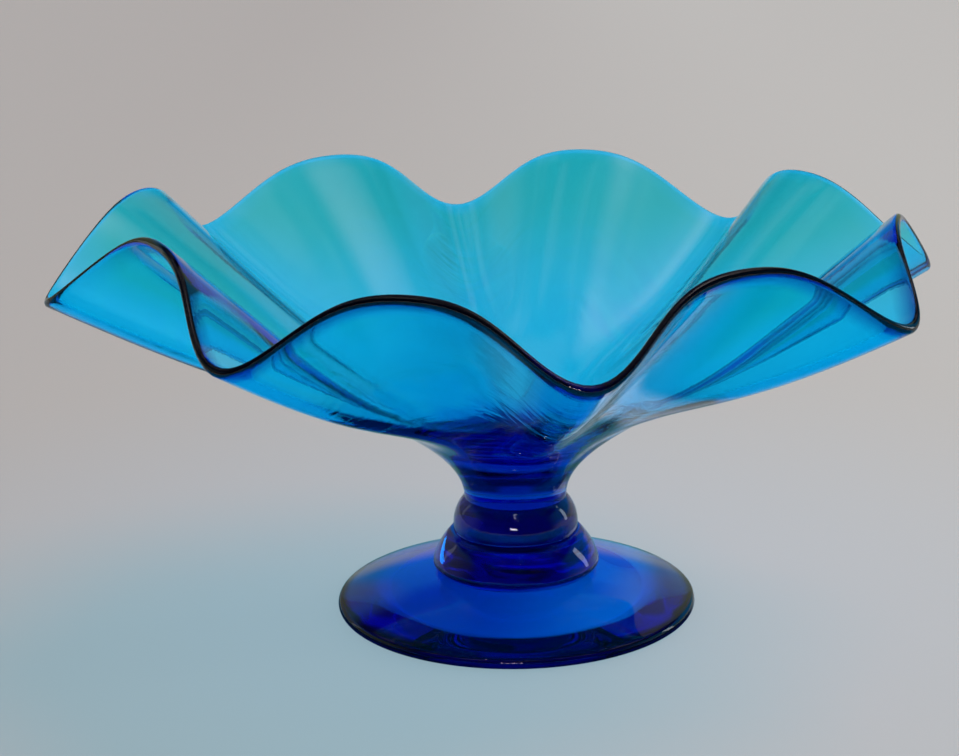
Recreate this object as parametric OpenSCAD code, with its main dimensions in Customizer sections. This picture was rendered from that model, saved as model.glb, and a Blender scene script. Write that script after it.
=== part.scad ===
// Footed centerpiece bowl in blown glass: a crimped bowl on two solid knops and a disc foot.
// Each piece is a separate gather of glass, fused flat to the one under it.
// The origin is the centre of the foot's underside, +Z is up and -Y is the front.

/* [Foot] */
// Diameter of the disc foot
foot_d = 120; // [100:1:150]
// Thickness of the foot at its rounded edge
foot_edge_h = 4; // [3:0.5:8]
// Height that the foot's low dome would reach at the axis
foot_dome_h = 14.6; // [11:0.2:20]
// Diameter of the shallow hollow in the foot's underside
foot_hollow_d = 84; // [60:1:90]
// Depth of that hollow at the axis
foot_hollow_h = 5.5; // [3:0.5:7]

/* [Lower knop] */
// Diameter of the lower knop at its widest
lower_knop_d = 55.6; // [46:0.2:70]
// Height of the lower knop
lower_knop_h = 13.8; // [11:0.2:18]
// How far its underside is drawn in to the foot's flat seat, where it is fused on
lower_tuck = 2.3; // [1.5:0.1:2.8]
// Radius of the lower knop's bottom corner
lower_corner_r = 3; // [2.9:0.1:4]
// Radius of the lower knop's shoulder
shoulder_r = 2; // [1:0.1:3]
// Radius of the swelling side between the corner and the shoulder
side_r = 24; // [20:1:60]

/* [Upper knop] */
// Diameter of the upper knop at its widest
upper_knop_d = 41.6; // [37:0.2:46]
// Height of the upper knop
upper_knop_h = 11.4; // [8:0.2:20]
// Height of its widest level above its lower joint
upper_widest_h = 2; // [0.5:0.1:3]

/* [Bowl] */
// Diameter of the neck, where the bowl is fused to the upper knop
neck_d = 34; // [30:0.2:36]
// Height over which the neck rises before it flares
neck_rise = 23; // [18:0.2:28]
// Radius to which the flare is drawn out under the wall
flare_r = 69; // [60:1:76]
// Height of the flare above the neck joint
flare_h = 34; // [28:0.5:38]
// Radius at which the wall's belly hangs fullest
belly_r = 66; // [60:1:80]
// Height of the belly above the neck joint
belly_h = 30; // [26:0.5:36]
// Thickness of the blown wall
wall = 2.6; // [2:0.1:4]
// Thickness of the wall's line carried down to the neck
neck_wall = 6.4; // [4:0.2:8]
// How far the round bottom of the hollow dips below the end of the wall
cup_depth = 4; // [2:0.5:6]
// Thickness that the wall swells to at its rounded rim
rim_d = 3.1; // [2.8:0.1:5]

/* [Crimped rim] */
// Number of crimps around the rim
crimps = 8; // [4:1:8]
// Reach from the axis to the rim's low points
low_reach = 139.6; // [120:0.2:160]
// Height of the rim's low points above the neck joint
low_h = 71.6; // [58:0.2:84]
// Reach from the axis to the rim's high points
high_reach = 123.4; // [108:0.2:134]
// Height of the rim's high points above the neck joint
high_h = 96; // [88:0.5:112]
// Direction of the first low point, anticlockwise from the front
first_low = 9.2; // [0:0.1:45]

/* [Hidden] */
$fn = 96;

// The foot's dome is a sphere that meets the round edge in a tangent
foot_edge_r = foot_edge_h / 2;
foot_flat_r = foot_d / 2 - foot_edge_r;
dome_rise = foot_dome_h - foot_edge_h;
dome_r = foot_edge_r + (foot_flat_r ^ 2 + dome_rise ^ 2) / (2 * dome_rise);
dome_centre_h = foot_dome_h - dome_r;
dome_meets_edge_r = foot_flat_r * dome_r / (dome_r - foot_edge_r);

// The hollow underneath is part of a sphere
foot_hollow_r = foot_hollow_d / 2;
foot_hollow_curve_r = (foot_hollow_r ^ 2 + foot_hollow_h ^ 2) / (2 * foot_hollow_h);

// The foot's seat, and the heights of the three fused joints
seat_r = lower_knop_d / 2 - lower_tuck;
foot_joint_h = dome_centre_h + sqrt(dome_r ^ 2 - seat_r ^ 2);
knop_joint_h = foot_joint_h + lower_knop_h;
neck_joint_h = knop_joint_h + upper_knop_h;

// The upper knop's side is one arc, from its widest level in to the neck
barrel_rise = upper_knop_h - upper_widest_h;
barrel_in = (upper_knop_d - neck_d) / 2;
barrel_r = (barrel_rise ^ 2 + barrel_in ^ 2) / (2 * barrel_in);
barrel_centre_x = upper_knop_d / 2 - barrel_r;
barrel_centre_h = knop_joint_h + upper_widest_h;
knop_joint_r = barrel_centre_x + sqrt(barrel_r ^ 2 - upper_widest_h ^ 2);

// The lower knop's corner circle sits where it passes through the edge of the foot's seat
corner_x = lower_knop_d / 2 - lower_corner_r;
corner_h = foot_joint_h + sqrt(lower_corner_r ^ 2 - (seat_r - corner_x) ^ 2);
shoulder_h = knop_joint_h - shoulder_r;

// Stations along the wall, from the neck (0) to the rim (1), closer where it bends most
wall_shares = [0, 0.05, 0.1, 0.15, 0.2, 0.25, 0.3, 0.36, 0.42, 0.48, 0.55, 0.62, 0.7, 0.78, 0.86, 0.93];
// The hollow starts at this share of the wall, and its round bottom turns in through these shares
hollow_start_share = 0.3;
cup_turn_shares = [0.12, 0.25, 0.4, 0.6, 0.8];
// Steps of the half-round rim, as shares of a quarter turn each way from its tip
rim_turn_shares = [-1, -0.67, -0.33, 0, 0.33, 0.67, 1];
// How fast the crimps grow towards the rim, and how much tighter low bends are than high ones
crimp_growth_share = 2.3;
pinch_share = 0.45;
// How fast the wall thins above the neck, and how late it swells again towards the rim
thinning_share = 2.5;
swelling_share = 6;
// Points around the bowl for each crimp
steps = 12;

// Hand work: how far each low and high point strays, as shares of the pitch, reach and height,
// and how far the wall's belly is lifted under each low point, as a share of its height
low_turn_shares = [-0.02, 0, -0.01, 0, -0.01, 0, 0.01, 0.035];
low_reach_shares = [0, 0, 0, 0, 0, -0.01, 0.055, 0];
low_height_shares = [0, 0.025, -0.025, -0.04, -0.01, 0.04, 0, 0];
low_belly_shares = [0.03, 0.066, 0.01, 0.03, 0.04, 0.03, 0.025, 0.042];
high_turn_shares = [-0.02, 0, 0.01, 0.01, 0.01, 0, -0.02, -0.01];
high_reach_shares = [0, -0.01, -0.01, 0, 0.025, 0.05, -0.01, 0];
high_height_shares = [-0.01, -0.015, -0.02, -0.015, -0.005, 0, 0.01, -0.04];

function mix(a, b, t) = a + (b - a) * t;
function pick(shares, i) = shares[(i + crimps) % crimps];

// Azimuth, reach and height of the rim at low point i and at the high point after it, and the
// belly's lift under it
pitch = 360 / crimps;
function low_point(i) = [
    first_low + pitch * (i + pick(low_turn_shares, i)),
    low_reach * (1 + pick(low_reach_shares, i)),
    low_h * (1 + pick(low_height_shares, i)),
    low_h * pick(low_belly_shares, i)];
function high_point(i) = [
    first_low + pitch * (i + 1 / 2 + pick(high_turn_shares, i)),
    high_reach * (1 + pick(high_reach_shares, i)),
    high_h * (1 + pick(high_height_shares, i)),
    0];

// How far the wave has dropped, at a share of the way from a high point to a low one
function drop(share) = let(a = 180 * share) (1 - cos(a - pinch_share * sin(a) * 180 / PI)) / 2;

// The same four for the rim at point j around it
function rim_point(j) =
    let(
        i = floor(j / steps),
        turn = 2 * (j % steps) / steps,
        low = low_point(turn <= 1 ? i : i + 1),
        high = high_point(i),
        share = abs(turn - 1),
        fallen = drop(share))
    [mix(high.x, low.x, share), mix(high.y, low.y, fallen), mix(high.z, low.z, fallen),
        mix(high[3], low[3], fallen)];

// The wall's outer line from the neck to a low point, before it is crimped, as [radius, height]
outer_line = [
    [neck_d / 2, 0], [neck_d / 2, neck_rise], [flare_r, flare_h], [belly_r, belly_h], [low_reach, low_h]];
function on_outer_line(s) = let(t = 1 - s)
    t ^ 4 * outer_line[0] + 4 * s * t ^ 3 * outer_line[1] + 6 * s ^ 2 * t ^ 2 * outer_line[2]
    + 4 * s ^ 3 * t * outer_line[3] + s ^ 4 * outer_line[4];
function crimped(s, rim) =
    on_outer_line(s) + s ^ crimp_growth_share * [rim.y - low_reach, rim.z - low_h]
    + [0, (4 * s * (1 - s)) ^ 2 * rim[3]];

// Unit direction of the crimped line at share s, and the direction across the wall to its inside
nudge_share = 0.01;
function unit(v) = v / norm(v);
function along(s, rim) =
    unit(crimped(min(s + nudge_share, 1), rim) - crimped(max(s - nudge_share, 0), rim));
function across(s, rim) = let(d = along(s, rim)) [-d.y, d.x];
function wall_at(s) =
    mix(wall, neck_wall, (1 - s) ^ thinning_share) + (rim_d - wall) * s ^ swelling_share;

function round_point(share, rim) =
    let(a = 90 * share, r = rim_d / 2)
    crimped(1, rim) + across(1, rim) * r * (1 + sin(a)) + along(1, rim) * r * cos(a);
function inner_point(s, rim) = crimped(s, rim) + across(s, rim) * wall_at(s);

// The hollow's bottom leaves the wall in a tangent and runs level at the axis
floor_h = inner_point(hollow_start_share, [0, low_reach, low_h, 0]).y - cup_depth;
function cup_point(share, rim) =
    let(
        edge = inner_point(hollow_start_share, rim),
        d = along(hollow_start_share, rim),
        turn = [edge.x - (edge.y - floor_h) * d.x / d.y, floor_h],
        t = 1 - share)
    t ^ 2 * edge + 2 * share * t * turn + share ^ 2 * [0, floor_h];

// One line over the whole section at a rim point: outside, rim, inside and bottom
function section(rim) = concat(
    [for (s = wall_shares) crimped(s, rim)],
    [for (share = rim_turn_shares) round_point(share, rim)],
    [for (k = [len(wall_shares) - 1:-1:0]) if (wall_shares[k] >= hollow_start_share)
        inner_point(wall_shares[k], rim)],
    [for (share = cup_turn_shares) cup_point(share, rim)]);

module foot() {
    color("mediumblue")
        rotate_extrude()
            difference() {
                union() {
                    square([foot_flat_r, foot_edge_h]);
                    translate([foot_flat_r, foot_edge_r])
                        circle(foot_edge_r);
                    intersection() {
                        translate([0, dome_centre_h])
                            circle(dome_r, $fn = 4 * $fn);
                        translate([0, foot_edge_r])
                            square([dome_meets_edge_r, foot_joint_h - foot_edge_r]);
                    }
                }
                translate([0, foot_hollow_h - foot_hollow_curve_r])
                    circle(foot_hollow_curve_r, $fn = 4 * $fn);
            }
}

// The lower knop's side is an arc that meets the corner's and the shoulder's circles in a tangent
module lower_knop() {
    low = [corner_x, corner_h];
    top = [knop_joint_r, shoulder_h];
    side = unit(top - low);
    low_r = side_r - lower_corner_r;
    top_r = side_r - shoulder_r;
    up = (low_r ^ 2 - top_r ^ 2 + norm(top - low) ^ 2) / (2 * norm(top - low));
    side_centre = low + up * side - sqrt(low_r ^ 2 - up ^ 2) * [side.y, -side.x];
    color("navy")
        rotate_extrude()
            intersection() {
                translate([0, foot_joint_h])
                    square([lower_knop_d, lower_knop_h]);
                union() {
                    translate(low)
                        circle(lower_corner_r);
                    translate(top)
                        circle(shoulder_r);
                    intersection() {
                        translate(side_centre)
                            circle(side_r, $fn = 4 * $fn);
                        polygon([
                            low, side_centre + 2 * side_r * unit(low - side_centre),
                            side_centre + 2 * side_r * unit(top - side_centre), top]);
                    }
                    polygon([
                        [0, foot_joint_h], [seat_r, foot_joint_h], low, top,
                        [top.x, knop_joint_h], [0, knop_joint_h]]);
                }
            }
}

module upper_knop() {
    color("midnightblue")
        rotate_extrude()
            intersection() {
                translate([0, knop_joint_h])
                    square([upper_knop_d, upper_knop_h]);
                union() {
                    translate([barrel_centre_x, barrel_centre_h])
                        circle(barrel_r);
                    translate([0, knop_joint_h])
                        square([barrel_centre_x, upper_knop_h]);
                }
            }
}

module bowl() {
    around = crimps * steps;
    rims = [for (j = [0:around - 1]) rim_point(j)];
    sections = [for (rim = rims) section(rim)];
    rings = len(sections[0]);
    body = [for (k = [0:rings - 1]) for (j = [0:around - 1])
        let(p = sections[j][k], az = rims[j].x) [p.x * sin(az), -p.x * cos(az), p.y]];
    underside = rings * around;
    cup_floor = underside + 1;
    walls = [for (k = [0:rings - 2]) for (j = [0:around - 1])
        let(a = k * around + j, b = k * around + (j + 1) % around)
        each [[a, a + around, b + around], [a, b + around, b]]];
    joint_face = [for (j = [0:around - 1]) [underside, j, (j + 1) % around]];
    cup_face = [for (j = [0:around - 1]) let(last = (rings - 1) * around)
        [cup_floor, last + (j + 1) % around, last + j]];
    color("deepskyblue")
        translate([0, 0, neck_joint_h])
            polyhedron(
                points = concat(body, [[0, 0, 0], [0, 0, floor_h]]),
                faces = concat(walls, joint_face, cup_face),
                convexity = 10);
}

foot();
lower_knop();
upper_knop();
bowl();
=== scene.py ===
import math

import bmesh
import bpy
from mathutils import Matrix, Vector


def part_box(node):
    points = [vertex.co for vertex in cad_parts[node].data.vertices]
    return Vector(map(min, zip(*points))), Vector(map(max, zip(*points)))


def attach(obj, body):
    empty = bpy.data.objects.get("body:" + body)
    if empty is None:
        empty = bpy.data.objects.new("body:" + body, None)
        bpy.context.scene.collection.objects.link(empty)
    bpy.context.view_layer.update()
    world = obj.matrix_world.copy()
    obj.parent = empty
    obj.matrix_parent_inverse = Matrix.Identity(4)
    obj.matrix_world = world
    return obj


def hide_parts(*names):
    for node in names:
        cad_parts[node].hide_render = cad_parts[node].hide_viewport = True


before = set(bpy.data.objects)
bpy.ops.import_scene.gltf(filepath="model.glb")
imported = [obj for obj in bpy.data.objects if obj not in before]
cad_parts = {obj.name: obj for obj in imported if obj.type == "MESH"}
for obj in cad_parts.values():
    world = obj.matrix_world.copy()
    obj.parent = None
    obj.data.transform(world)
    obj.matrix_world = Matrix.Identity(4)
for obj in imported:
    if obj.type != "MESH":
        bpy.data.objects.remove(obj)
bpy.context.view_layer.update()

# Studio. A pale, seamless floor in soft daylight, with tall window-like lamps behind to the right and
# left and a small lamp in front for the sparkle. The room in front is dim, which darkens the glass
# edges. Floor and room are painted bluer where they are mirrored in the glass or seen through it.
scene = bpy.context.scene
scene.view_settings.view_transform = "Standard"
scene.cycles.use_denoising = True
scene.cycles.max_bounces = 40
scene.cycles.transmission_bounces = 40
scene.cycles.glossy_bounces = 12
scene.cycles.diffuse_bounces = 4
scene.cycles.transparent_max_bounces = 16

aim = Vector((0, 0, 0.0724))
camera_distance = 0.6515
camera_elevation = math.radians(15.44)
camera_roll = math.radians(-0.74)
photo_width, photo_height = 959, 756
focal_length_px = 1982
aim_px = (514, 394)

camera = bpy.data.objects.new("camera", bpy.data.cameras.new("camera"))
scene.collection.objects.link(camera)
camera.data.sensor_width = 36
camera.data.lens = camera.data.sensor_width * focal_length_px / photo_width
camera.data.shift_x = (photo_width / 2 - aim_px[0]) / photo_width
camera.data.shift_y = (aim_px[1] - photo_height / 2) / photo_width
back = Vector((0, -math.cos(camera_elevation), math.sin(camera_elevation)))
tilt = Matrix.Rotation(math.pi / 2 - camera_elevation, 4, "X")
roll = Matrix.Rotation(camera_roll, 4, "Z")
camera.matrix_world = Matrix.Translation(aim + back * camera_distance) @ tilt @ roll
camera.data.clip_start = 0.01
camera.data.clip_end = 100
scene.camera = camera


class Term:
    """A shader socket, or none yet, with which sums and products are written."""

    def __init__(self, tree, socket=None):
        self.tree, self.socket = tree, socket

    def node(self, kind, settings=None, values=None, output=0):
        """Adds a node with those settings, and with those values or links on its sockets."""
        made = self.tree.nodes.new(kind)
        for name, value in (settings or {}).items():
            setattr(made, name, value)
        for name, value in (values or {}).items():
            if isinstance(value, Term):
                self.tree.links.new(value.socket, made.inputs[name])
            else:
                made.inputs[name].default_value = value
        return Term(self.tree, made.outputs[output])

    def maths(self, operation, first, second=0):
        return self.node("ShaderNodeMath", {"operation": operation}, {0: first, 1: second})

    def __add__(self, other):
        return self.maths("ADD", self, other)

    def __radd__(self, other):
        return self.maths("ADD", other, self)

    def __sub__(self, other):
        return self.maths("SUBTRACT", self, other)

    def __rsub__(self, other):
        return self.maths("SUBTRACT", other, self)

    def __mul__(self, other):
        return self.maths("MULTIPLY", self, other)

    def __rmul__(self, other):
        return self.maths("MULTIPLY", other, self)

    def __abs__(self):
        return self.maths("ABSOLUTE", self)


def new_material(name):
    """An empty node material, with its output node and a Term to build from."""
    material = bpy.data.materials.new(name)
    material.use_nodes = True
    material.node_tree.nodes.clear()
    output = material.node_tree.nodes.new("ShaderNodeOutputMaterial")
    return material, output, Term(material.node_tree)


def link(output, name, term):
    term.tree.links.new(term.socket, output.inputs[name])


def fade(value, low, high, start=0.0, end=1.0):
    """Goes smoothly from start to end while the value goes from low to high."""
    return value.node("ShaderNodeMapRange", {"interpolation_type": "SMOOTHSTEP"}, {
        "Value": value, "From Min": low, "From Max": high, "To Min": start, "To Max": end})


def blend(share, first, second):
    """The first colour, going over to the second as the share goes from 0 to 1."""
    return share.node("ShaderNodeMix", {"data_type": "RGBA"}, {0: share, 6: first, 7: second}, 2)


def by_ray(term, seen, mirrored, through_glass):
    """One colour as it is seen, mirrored in the glass, or seen through the glass."""
    outside = blend(term.node("ShaderNodeLightPath", output="Is Glossy Ray"), seen, mirrored)
    return blend(term.node("ShaderNodeLightPath", output="Is Transmission Ray"), outside, through_glass)


def own_place(term):
    """The place on the object itself, in metres from its origin."""
    return term.node("ShaderNodeTexCoord", output="Object")


def part_of(vector, axis):
    return vector.node("ShaderNodeSeparateXYZ", None, {"Vector": vector}, axis)


def length_of(vector):
    return vector.node("ShaderNodeVectorMath", {"operation": "LENGTH"}, {0: vector}, "Value")


def noise(vector, scale, detail=1, distortion=0):
    return vector.node("ShaderNodeTexNoise", None, {
        "Vector": vector, "Scale": scale, "Detail": detail, "Distortion": distortion}, "Fac")


floor_radius = 9
floor_drop = 0.00005

bm = bmesh.new()
bmesh.ops.create_circle(bm, cap_ends=True, radius=floor_radius, segments=96)
bmesh.ops.translate(bm, verts=bm.verts, vec=(0, 0, -floor_drop))
floor_mesh = bpy.data.meshes.new("floor")
bm.to_mesh(floor_mesh)
bm.free()
floor = bpy.data.objects.new("floor", floor_mesh)
scene.collection.objects.link(floor)
material, output, term = new_material("floor_paper")
place = own_place(term)
from_bowl = length_of(place)
across, along = part_of(place, "X"), part_of(place, "Y")
going_out = fade(from_bowl, 0.06, 0.36)
# Painted shade and light: seen directly, the floor is darker at the left, lighter at the right, and bluer
# close to the bowl.
painted_shade_left = blend(going_out, (0.49, 0.5, 0.54, 1), (0.52, 0.475, 0.46, 1))
painted_light_right = blend(going_out, (0.635, 0.63, 0.65, 1), (0.62, 0.585, 0.565, 1))
seen = blend(fade(across, -0.35, 0.35), painted_shade_left, painted_light_right)

# Mirrored in the glass, the floor is a painted reflection: dark close to the foot as painted shadow,
# bright blue in front and paler at the back. A pale patch beside the foot at the right, painted light,
# is what the wall's lower edge mirrors there.
beside_foot = fade(from_bowl, 0.065, 0.12)
in_front = blend(beside_foot, (0.01, 0.03, 0.1, 1), (0, 0.36, 0.85, 1))
at_the_back = blend(beside_foot, (0.1, 0.3, 0.32, 1), (0.4, 0.48, 0.52, 1))
at_the_right = (fade(across, 0.05, 0.06) * fade(along, -0.02, 0.01) * fade(from_bowl, 0.085, 0.095, 1, 0)
                * fade(across - 0.5 * along, 0.062, 0.074, 1, 0))
mirrored = blend(fade(along, -0.02, 0.06), in_front, at_the_back)
mirrored = blend(at_the_right, mirrored, (0.85, 0.92, 1, 1))
mirrored = blend(fade(from_bowl, 0.3, 1.0), mirrored, (0.5, 0.5, 0.5, 1))

# Seen through the glass, the floor is painted light: it goes from violet to pale blue across the foot,
# with painted shade at the foot's far left and right, and beyond the foot it goes from blue to grey
# green farther away.
under_foot = blend(fade(across, -0.015, 0.05), (0.4, 0.2, 0.5, 1), (0.4, 0.82, 0.9, 1))
under_foot = blend(fade(abs(across), 0.037, 0.05), under_foot, (0.3, 0.14, 0.28, 1))
beyond_foot = blend(fade(from_bowl, 0.35, 0.85), (0.38, 0.62, 0.88, 1), (0.38, 0.57, 0.57, 1))
through_glass = blend(fade(from_bowl, 0.055, 0.075), under_foot, beyond_foot)
link(output, "Surface", term.node("ShaderNodeBsdfPrincipled", None, {
    "Base Color": by_ray(term, seen, mirrored, through_glass),
    "Roughness": 0.9, "Specular IOR Level": 0.1}))
floor_mesh.materials.append(material)


def shining_from(direction):
    """The turn of a lamp whose light comes from that direction."""
    return Vector(direction).to_track_quat("Z", "Y").to_matrix().to_4x4()


def area_lamp(name, place, at, size, power, colour):
    """A lit pane that faces a place. The glass mirrors it, but it isn't seen through the glass."""
    data = bpy.data.lights.new(name, "AREA")
    data.shape = "RECTANGLE"
    data.size, data.size_y = size
    data.energy = power
    data.color = colour
    lamp = bpy.data.objects.new(name, data)
    lamp.matrix_world = Matrix.Translation(place) @ shining_from(Vector(place) - Vector(at))
    lamp.visible_transmission = False
    scene.collection.objects.link(lamp)
    return lamp


stem_middle = (0, 0, 0.04)
bowl_middle = (0, 0, 0.07)
window_distance = 1.6


def beside(azimuth, elevation):
    """A window's place round the stem, its azimuth from the right towards the back."""
    a, e = math.radians(azimuth), math.radians(elevation)
    return (window_distance * math.cos(a) * math.cos(e), window_distance * math.sin(a) * math.cos(e),
            window_distance * math.sin(e) + stem_middle[2])


floor_only = bpy.data.collections.new("floor_only")
floor_only.objects.link(floor)
glass_pieces = bpy.data.collections.new("glass_pieces")
knop_only = bpy.data.collections.new("knop_only")
sparkling = bpy.data.collections.new("sparkling")
area_lamp("right_window", beside(18, 13), stem_middle, (0.22, 0.6), 1.1, (0.9, 0.97, 1))
area_lamp("left_window", beside(149, 14), stem_middle, (0.14, 0.6), 0.13, (0.8, 0.85, 1))
blue_pane = area_lamp("blue_pane", beside(137, 0), stem_middle, (0.8, 0.36), 6.5, (0, 0.26, 1))
blue_pane.light_linking.receiver_collection = knop_only
sparkle = area_lamp("sparkle", (-0.14, -1.97, 0.52), bowl_middle, (0.45, 0.16), 4.5, (1, 0.8, 0.8))
sparkle.light_linking.receiver_collection = sparkling


def sun(name, energy, colour, direction, spread, blockers):
    """Daylight for the floor only, stopped by those blockers."""
    lamp = bpy.data.objects.new(name, bpy.data.lights.new(name, "SUN"))
    lamp.data.energy = energy
    lamp.data.color = colour
    lamp.data.angle = math.radians(spread)
    lamp.matrix_world = shining_from(direction)
    scene.collection.objects.link(lamp)
    lamp.light_linking.receiver_collection = floor_only
    lamp.light_linking.blocker_collection = blockers


sun("skylight", 2.3, (0.62, 0.92, 1), (0, 0, 1), 0.5, floor_only)
sun("skylight_red", 0.92, (1, 0.2, 0), (0.55, 0.4, 1), 44, glass_pieces)


def lit(colour, light):
    """That colour in that strength of light."""
    return light.node("ShaderNodeVectorMath", {"operation": "SCALE"}, {0: colour, "Scale": light})


world = bpy.data.worlds.new("room")
scene.world = world
world.use_nodes = True
world.node_tree.nodes.clear()
term = Term(world.node_tree)
output = world.node_tree.nodes.new("ShaderNodeOutputWorld")
direction = term.node("ShaderNodeTexCoord", output="Generated")
to_right, to_back, height = (part_of(direction, axis) for axis in "XYZ")
behind = fade(to_back, -0.5, 0.1)
backdrop = fade(height, 0.42, 0.56, 1, 0) * behind
dim, bright = 0.07, 0.5
seen = lit((0.95, 0.94, 0.93), dim + bright * backdrop)

# Seen through the glass, the backdrop is painted bluer and has painted shade higher up at either side.
side_shade = 0.8 * fade(abs(to_right), 0.12, 0.28) * fade(height, 0.06, 0.2)
through_glass = lit((0.7, 0.93, 1.2), dim + bright * backdrop * (1 - side_shade))

# Mirrored in the glass, the room is a painted reflection: a low sky behind with a glow at either side,
# in a dark room that has cloudy light overhead and a skylight.
dark_room = (0.012, 0.016, 0.07, 1)
skylight_direction = (0.38, 0.06, 0.92)
low_sky = blend(fade(height, 0.05, 0.2), (0.42, 0.48, 0.4, 1), (0.03, 0.3, 0.58, 1))
right_glow = fade(to_right, 0.17, 0.28) * fade(to_right, 0.38, 0.46, 1, 0) * fade(height, 0.65, 0.72, 1, 0)
left_glow = fade(to_right, -0.3, -0.22, 1, 0) * fade(height, 0.3, 0.6, 1, 0)
clouds = fade(noise(direction, 4), 0.35, 0.75) * fade(height, 0.6, 0.8)
from_skylight = term.node("ShaderNodeVectorMath", {"operation": "DISTANCE"}, {
    0: direction, 1: skylight_direction}, "Value")
mirrored = blend(fade(height, 0.42, 0.56), low_sky, dark_room)
mirrored = blend(right_glow, mirrored, (0.28, 0.32, 0.2, 1))
mirrored = blend(left_glow, mirrored, (0.2, 0.22, 0.12, 1))
mirrored = blend(behind, dark_room, mirrored)
mirrored = blend(clouds, mirrored, (0.5, 0.46, 0.5, 1))
mirrored = blend(fade(from_skylight, 0, 0.4, 1, 0), mirrored, (1.6, 1.4, 1.5, 1))
link(output, "Surface", term.node("ShaderNodeBackground", None, {
    "Color": by_ray(term, seen, mirrored, through_glass), "Strength": 1}))


# Foot. One gather of blue glass, spread flat into a disc while hot, with a low dome on top and a
# rounded edge. It stands on a flat ring round a shallow hollow that shows through as a brighter disc,
# brightened too by the painted light of the floor seen through it.
joint_gap = 0.00001
merge_distance = 0.000001
crease_angle = math.radians(35)
millimetre = 0.001


def start_line(place):
    """A bmesh with one vertex at the start of a piece's section, in the XZ plane."""
    bm = bmesh.new()
    return bm, bm.verts.new(place)


def go(bm, last, place):
    """Runs the section straight on to a place."""
    made = bmesh.ops.extrude_vert_indiv(bm, verts=[last])["verts"][0]
    made.co = place
    return made


def bend(bm, last, centre, angle, steps):
    """Runs the section on in an arc round a centre."""
    made = bmesh.ops.spin(bm, geom=[last], cent=centre, axis=(0, 1, 0), angle=angle, steps=steps)
    return [v for v in made["geom_last"] if isinstance(v, bmesh.types.BMVert)][0]


def turn(bm, steps):
    """Spins the section once round the stem's axis."""
    bmesh.ops.spin(bm, geom=bm.verts[:] + bm.edges[:], cent=(0, 0, 0), axis=(0, 0, 1), angle=2 * math.pi,
                   steps=steps, use_merge=True)


def finish_piece(bm, name, material, joints):
    """Closes seam and poles, marks the faces melted into the next piece, and makes the object."""
    bmesh.ops.remove_doubles(bm, verts=bm.verts, dist=merge_distance)
    bmesh.ops.recalc_face_normals(bm, faces=bm.faces)
    fused = bm.faces.layers.float.new("fused")
    for face in bm.faces:
        face.smooth = True
        face[fused] = float(any(all(abs(v.co.z - h) < joint_gap for v in face.verts) for h in joints))
    for edge in bm.edges:
        one, other = edge.link_faces
        edge.smooth = one[fused] == other[fused] and edge.calc_face_angle() < crease_angle
    mesh = bpy.data.meshes.new(name)
    bm.to_mesh(mesh)
    bm.free()
    mesh.materials.append(material)
    piece = bpy.data.objects.new(name, mesh)
    scene.collection.objects.link(piece)
    glass_pieces.objects.link(piece)
    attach(piece, "root")
    return piece


def glass(name, red, green, blue, ripples, tint):
    """Glass that swallows that much light per metre, with no surface where it is melted together."""
    material, output, term = new_material(name)
    ripple = term.node("ShaderNodeBump", None, {
        "Height": ripples(term), "Strength": 1, "Distance": millimetre})
    surface = term.node("ShaderNodeBsdfPrincipled", None, {
        "Base Color": tint(term), "Roughness": 0, "IOR": 1.5, "Transmission Weight": 1, "Normal": ripple})
    melted = term.node("ShaderNodeAttribute", {"attribute_name": "fused"}, output="Fac")
    no_surface = term.node("ShaderNodeBsdfTransparent")
    link(output, "Surface", term.node("ShaderNodeMixShader", None, {0: melted, 1: surface, 2: no_surface}))
    link(output, "Volume", term.node("ShaderNodeVolumeAbsorption", None, {
        "Color": (0, 1 - green / red, 1 - blue / red, 1), "Density": red}))
    return material


def drawn_out(term, across, up, distortion):
    """Noise stretched round the stem, as the gathers were turned while they were shaped."""
    scaled = term.node("ShaderNodeVectorMath", {"operation": "MULTIPLY"}, {
        0: own_place(term), 1: (across, across, up)})
    return noise(scaled, 1, distortion=distortion)


def stem_ripples(term):
    """Height in millimetres: the unevenness left by shaping the hot gathers, most in the lower knop."""
    height = part_of(own_place(term), "Z")
    in_knop = fade(height, 0.0125, 0.015) * fade(height, 0.0245, 0.027, 1, 0)
    return 0.35 * drawn_out(term, 25, 90, 0) + 1.2 * drawn_out(term, 32, 75, 1) * in_knop


def stem_tint(term):
    """Deeper round the foot's edge, in swirls through the lower knop and all over the upper one."""
    place = own_place(term)
    height = part_of(place, "Z")
    edge = blend(fade(length_of(place), 0.0555, 0.0585), (1, 1, 1, 1), (1, 0.25, 0.2, 1))
    swirls = fade(drawn_out(term, 25, 260, 1.5), 0.42, 0.55) * fade(height, 0.0125, 0.0145)
    knop = blend(swirls, edge, (0.9, 0.15, 0.2, 1))
    return blend(fade(height, 0.0245, 0.027), knop, (1, 0.6, 0.22, 1))


stem_glass = glass("stem_glass", 900, 135, 9, stem_ripples, stem_tint)

_, foot_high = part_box("foot")
foot_r = foot_high.x
edge_r = 0.002
flat_r = foot_r - edge_r
dome_h = 0.0146
rise = dome_h - 2 * edge_r
dome_r = edge_r + (flat_r ** 2 + rise ** 2) / (2 * rise)
foot_joint_h = foot_high.z
seat_r = math.sqrt(dome_r ** 2 - (foot_joint_h - dome_h + dome_r) ** 2)
edge_angle = math.asin(flat_r / (dome_r - edge_r))
seat_angle = math.asin(seat_r / dome_r)

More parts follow.
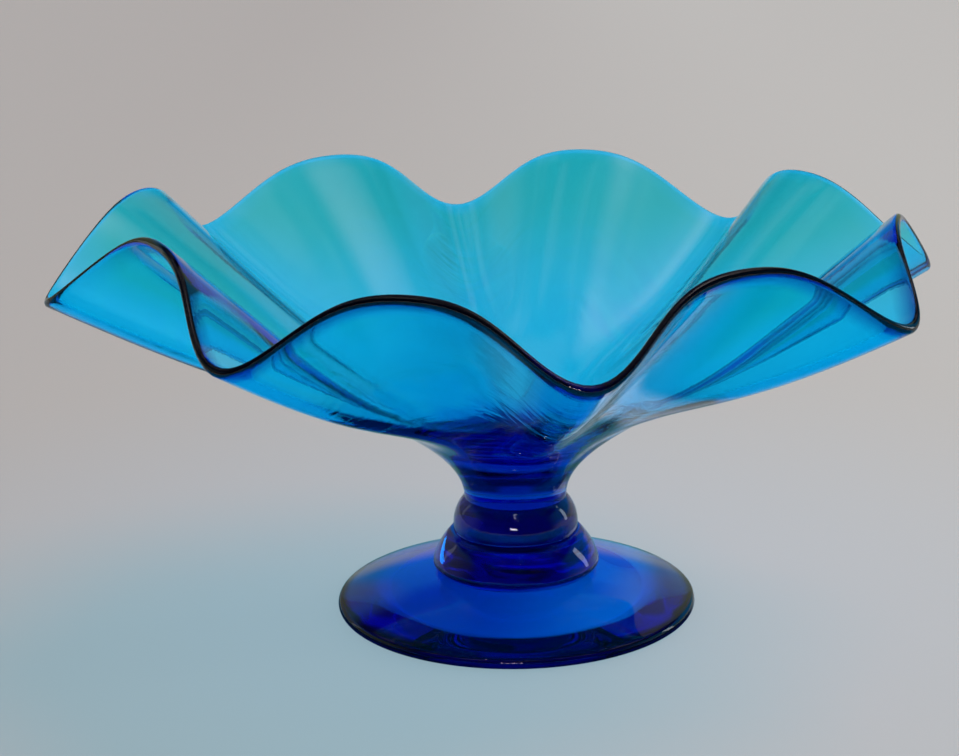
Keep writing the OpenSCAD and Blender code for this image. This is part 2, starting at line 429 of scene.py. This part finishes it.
hollow_r, hollow_h = 0.042, 0.0055
hollow_curve_r = (hollow_r ** 2 + hollow_h ** 2) / (2 * hollow_h)
bm, last = start_line((0, 0, hollow_h))
last = bend(bm, last, (0, 0, hollow_h - hollow_curve_r), math.asin(hollow_r / hollow_curve_r), 24)
last = go(bm, last, (flat_r, 0, 0))
last = bend(bm, last, (flat_r, 0, edge_r), -(math.pi - edge_angle), 14)
last = bend(bm, last, (0, 0, dome_h - dome_r), -(edge_angle - seat_angle), 20)
last = go(bm, last, (0, 0, foot_joint_h))
turn(bm, 256)
foot = finish_piece(bm, "foot_disc", stem_glass, [foot_joint_h])
sparkling.objects.link(foot)
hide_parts("foot")

# Lower knop. A wide solid gather dropped on the foot's dome while hot, so that its bottom
# corner tucks in to the seat, and sheared off flat on top for the next piece.
knop_low, knop_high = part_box("lower_knop")
corner_r, shoulder_r, side_r = 0.003, 0.002, 0.024
knop_r = knop_high.x
top_r = 0.0206
corner = Vector((knop_r - corner_r, 0, 0))
corner.z = knop_low.z + math.sqrt(corner_r ** 2 - (seat_r - corner.x) ** 2)
shoulder = Vector((top_r, 0, knop_high.z - shoulder_r))
span = (shoulder - corner).length
along = (shoulder - corner).normalized()
outwards = Vector((along.z, 0, -along.x))
up = ((side_r - corner_r) ** 2 - (side_r - shoulder_r) ** 2 + span ** 2) / (2 * span)
side_centre = corner + along * up - outwards * math.sqrt((side_r - corner_r) ** 2 - up ** 2)
low_lean = math.atan2(corner.z - side_centre.z, corner.x - side_centre.x)
high_lean = math.atan2(shoulder.z - side_centre.z, shoulder.x - side_centre.x)
tuck = math.acos((seat_r - corner.x) / corner_r)
knop_bottom, knop_top = knop_low.z + joint_gap, knop_high.z - joint_gap

bm, last = start_line((0, 0, knop_bottom))
last = go(bm, last, (seat_r, 0, knop_bottom))
last = bend(bm, last, corner, -(tuck + low_lean), 12)
last = bend(bm, last, side_centre, -(high_lean - low_lean), 16)
last = bend(bm, last, shoulder, -(math.pi / 2 - high_lean), 10)
last.co = (top_r, 0, knop_top)
last = go(bm, last, (0, 0, knop_top))
turn(bm, 192)
lower_knop = finish_piece(bm, "lower_stem_knop", stem_glass, [knop_bottom, knop_top])
knop_only.objects.link(lower_knop)
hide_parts("lower_knop")

# Upper knop. A narrower solid gather fused on the first and drawn in to the neck, so that its
# side is one barrel curve.
barrel_low, barrel_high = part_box("upper_knop")
neck_r = 0.017
widest = Vector((0.0208, 0, barrel_low.z + 0.002))
rise, draw = barrel_high.z - widest.z, widest.x - neck_r
barrel_r = (rise ** 2 + draw ** 2) / (2 * draw)
barrel_centre = Vector((widest.x - barrel_r, 0, widest.z))
below = math.asin((widest.z - barrel_low.z) / barrel_r)
above = math.asin(rise / barrel_r)
barrel_bottom, barrel_top = barrel_low.z + joint_gap, barrel_high.z - joint_gap

bm, last = start_line((0, 0, barrel_bottom))
last = go(bm, last, (barrel_centre.x + barrel_r * math.cos(below), 0, barrel_bottom))
last = bend(bm, last, barrel_centre, -(below + above), 24)
last.co = (neck_r, 0, barrel_top)
last = go(bm, last, (0, 0, barrel_top))
turn(bm, 192)
upper_knop = finish_piece(bm, "upper_stem_knop", stem_glass, [barrel_bottom, barrel_top])
sparkling.objects.link(upper_knop)
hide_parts("upper_knop")

# Bowl. Blown, opened out and spun wide, then its rim was pushed up into eight crimps and fire
# polished, which rounded it and drew it a little thicker. Its neck is solid up to the hollow.
bowl_low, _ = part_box("bowl")
neck_h = bowl_low.z
crimps = 8
pitch = 2 * math.pi / crimps
wall, neck_wall, rim_thickness, cup_depth = 0.0026, 0.0064, 0.0031, 0.004
low_reach, low_h = 0.1396, 0.0716
high_reach, high_h = 0.1234, 0.096
first_low = math.radians(9.2)

# How far the rim's low and high points, pushed by hand, stray from an even wave: in shares of the
# pitch, the reach and the height. The belly is the wall's lift under a low point.
low_turn = (-0.02, 0, -0.01, 0, -0.01, 0, 0.01, 0.035)
low_stretch = (0, 0, 0, 0, 0, -0.01, 0.055, 0)
low_lift = (0, 0.025, -0.025, -0.04, -0.01, 0.04, 0, 0)
low_belly = (0.03, 0.066, 0.01, 0.03, 0.04, 0.03, 0.025, 0.042)
high_turn = (-0.02, 0, 0.01, 0.01, 0.01, 0, -0.02, -0.01)
high_stretch = (0, -0.01, -0.01, 0, 0.025, 0.05, -0.01, 0)
high_lift = (-0.01, -0.015, -0.02, -0.015, -0.005, 0, 0.01, -0.04)

growth, pinch, thinning, swelling = 2.3, 0.45, 2.5, 6
hollow_start = 0.3
wall_steps, hollow_steps = 50, 12
rim_degrees = range(-90, 91, 15)
outer_line = [Vector((neck_r, 0)), Vector((neck_r, 0.023)), Vector((0.069, 0.034)), Vector((0.066, 0.03)),
              Vector((low_reach, low_h))]


def mix(a, b, t):
    return a + (b - a) * t


def low_point(i):
    """Direction, reach and height of a low point of the rim, and the belly's lift under it."""
    k = i % crimps
    return (first_low + pitch * (i + low_turn[k]), low_reach * (1 + low_stretch[k]),
            low_h * (1 + low_lift[k]), low_h * low_belly[k])


def high_point(i):
    """The same for the high point after it, under which the wall has no belly."""
    k = i % crimps
    return (first_low + pitch * (i + 0.5 + high_turn[k]), high_reach * (1 + high_stretch[k]),
            high_h * (1 + high_lift[k]), 0)


def rim_at(turns):
    """The same for the rim, that share of the way round."""
    along = turns * crimps
    i = int(math.floor(along))
    across = 2 * (along - i)
    low, high = low_point(i if across <= 1 else i + 1), high_point(i)
    share = abs(across - 1)
    a = math.pi * share
    fallen = (1 - math.cos(a - pinch * math.sin(a))) / 2
    return mix(high[0], low[0], share), *(mix(high[k], low[k], fallen) for k in (1, 2, 3))


def on_wall(s, rim):
    """Reach and height of the outer wall, that share of the way from the neck to the rim."""
    t = 1 - s
    line = (outer_line[0] * t ** 4 + outer_line[1] * (4 * s * t ** 3) + outer_line[2] * (6 * s * s * t * t)
            + outer_line[3] * (4 * s ** 3 * t) + outer_line[4] * s ** 4)
    crimp = Vector((rim[1] - low_reach, rim[2] - low_h)) * s ** growth
    return line + crimp + Vector((0, (4 * s * t) ** 2 * rim[3]))


def frame_at(s, rim):
    """The direction up the outer wall there, and the one across it to the inside."""
    nudge = 0.01
    d = (on_wall(min(s + nudge, 1), rim) - on_wall(max(s - nudge, 0), rim)).normalized()
    return d, Vector((-d.y, d.x))


def inner_point(s, rim):
    """Reach and height of the inner wall there."""
    thickness = mix(wall, neck_wall, (1 - s) ** thinning) + (rim_thickness - wall) * s ** swelling
    return on_wall(s, rim) + frame_at(s, rim)[1] * thickness


floor_h = inner_point(hollow_start, (0, low_reach, low_h, 0)).y - cup_depth


def section(rim):
    """Up the outer wall, round the rim, down the inner wall and over the hollow's bottom."""
    shares = [k / wall_steps for k in range(wall_steps)]
    points = [on_wall(s, rim) for s in shares]
    d, n = frame_at(1, rim)
    for degrees in rim_degrees:
        a = math.radians(degrees)
        points.append(on_wall(1, rim) + (n * (1 + math.sin(a)) + d * math.cos(a)) * rim_thickness / 2)
    points += [inner_point(s, rim) for s in reversed(shares) if s >= hollow_start]
    edge = points[-1]
    d, n = frame_at(hollow_start, rim)
    bottom_edge = Vector((edge.x - (edge.y - floor_h) * d.x / d.y, floor_h))
    bottom_centre = Vector((0, floor_h))
    for k in range(1, hollow_steps + 1):
        t = k / hollow_steps
        points.append(edge * (1 - t) ** 2 + bottom_edge * (2 * t * (1 - t)) + bottom_centre * t * t)
    return points


# The mesh starts as a flat disc of rings, and each ring then takes its own place in the section.
around = 384
rings = len(section(rim_at(0)))
bm, last = start_line((0, 0, 0))
for ring in range(1, rings + 1):
    last = go(bm, last, (ring, 0, 0))
turn(bm, around)
crimped = [(rim, section(rim)) for rim in (rim_at(step / around) for step in range(around))]
on_rim = bm.verts.layers.float.new("rim")
for v in bm.verts:
    ring = round(v.co.xy.length)
    if ring == 0:
        v.co = (0, 0, neck_h + joint_gap)
        continue
    step = round(math.atan2(v.co.y, v.co.x) / (2 * math.pi) * around) % around
    rim, points = crimped[step]
    p = points[ring - 1]
    v[on_rim] = float(wall_steps < ring <= wall_steps + len(rim_degrees))
    reach = 0 if ring == rings else p.x
    v.co = (reach * math.sin(rim[0]), -reach * math.cos(rim[0]), neck_h + max(p.y, joint_gap))


def cords(term):
    """Cords in the glass, drawn out round the bowl as it was spun open, strongest low on the wall."""
    place = own_place(term)
    height = part_of(place, "Z")
    level = term.node("ShaderNodeVectorMath", {"operation": "MULTIPLY"}, {0: place, 1: (1, 1, 0)})
    around_it = term.node("ShaderNodeVectorMath", {"operation": "NORMALIZE"}, {0: level})
    stretched = term.node("ShaderNodeVectorMath", {"operation": "MULTIPLY_ADD"}, {
        0: around_it, 1: (3, 3, 0), 2: term.node("ShaderNodeCombineXYZ", None, {"Z": 70 * length_of(level)})})
    lines = noise(stretched, 1, detail=3, distortion=2.6)
    where = fade(noise(place, 16), 0.35, 0.6)
    return lines, where * fade(height, 0.046, 0.06) * fade(height, 0.062, 0.11, 1, 0.15)


def bowl_ripples(term):
    """Height in millimetres: the cords, and the broad unevenness of a blown wall."""
    lines, where = cords(term)
    return 0.25 * lines * where + 0.6 * noise(own_place(term), 22)


def bowl_tint(term):
    """A little deeper in the cords, much deeper above the joint, and painted shade on the front of the rim.
    """
    lines, where = cords(term)
    place = own_place(term)
    height = part_of(place, "Z")
    wall_colour = blend(fade(lines, 0.45, 0.6) * where, (1, 1, 1, 1), (0.93, 0.9, 1, 1))
    above_joint = fade(height, 0.0402, 0.042) * fade(height, 0.049, 0.053, 1, 0)
    wall_colour = blend(above_joint, wall_colour, (0.8, 0.12, 0.42, 1))
    rim = term.node("ShaderNodeAttribute", {"attribute_name": "rim"}, output="Fac")
    # Painted shade: the rim is darkened on its front side only.
    return blend(rim * fade(part_of(place, "Y"), -0.07, -0.03, 1, 0), wall_colour, (0.4, 0.25, 0.5, 1))


bowl_glass = glass("bowl_glass", 900, 55, 9, bowl_ripples, bowl_tint)
bowl = finish_piece(bm, "crimped_bowl", bowl_glass, [neck_h + joint_gap])
sparkling.objects.link(bowl)
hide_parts("bowl")
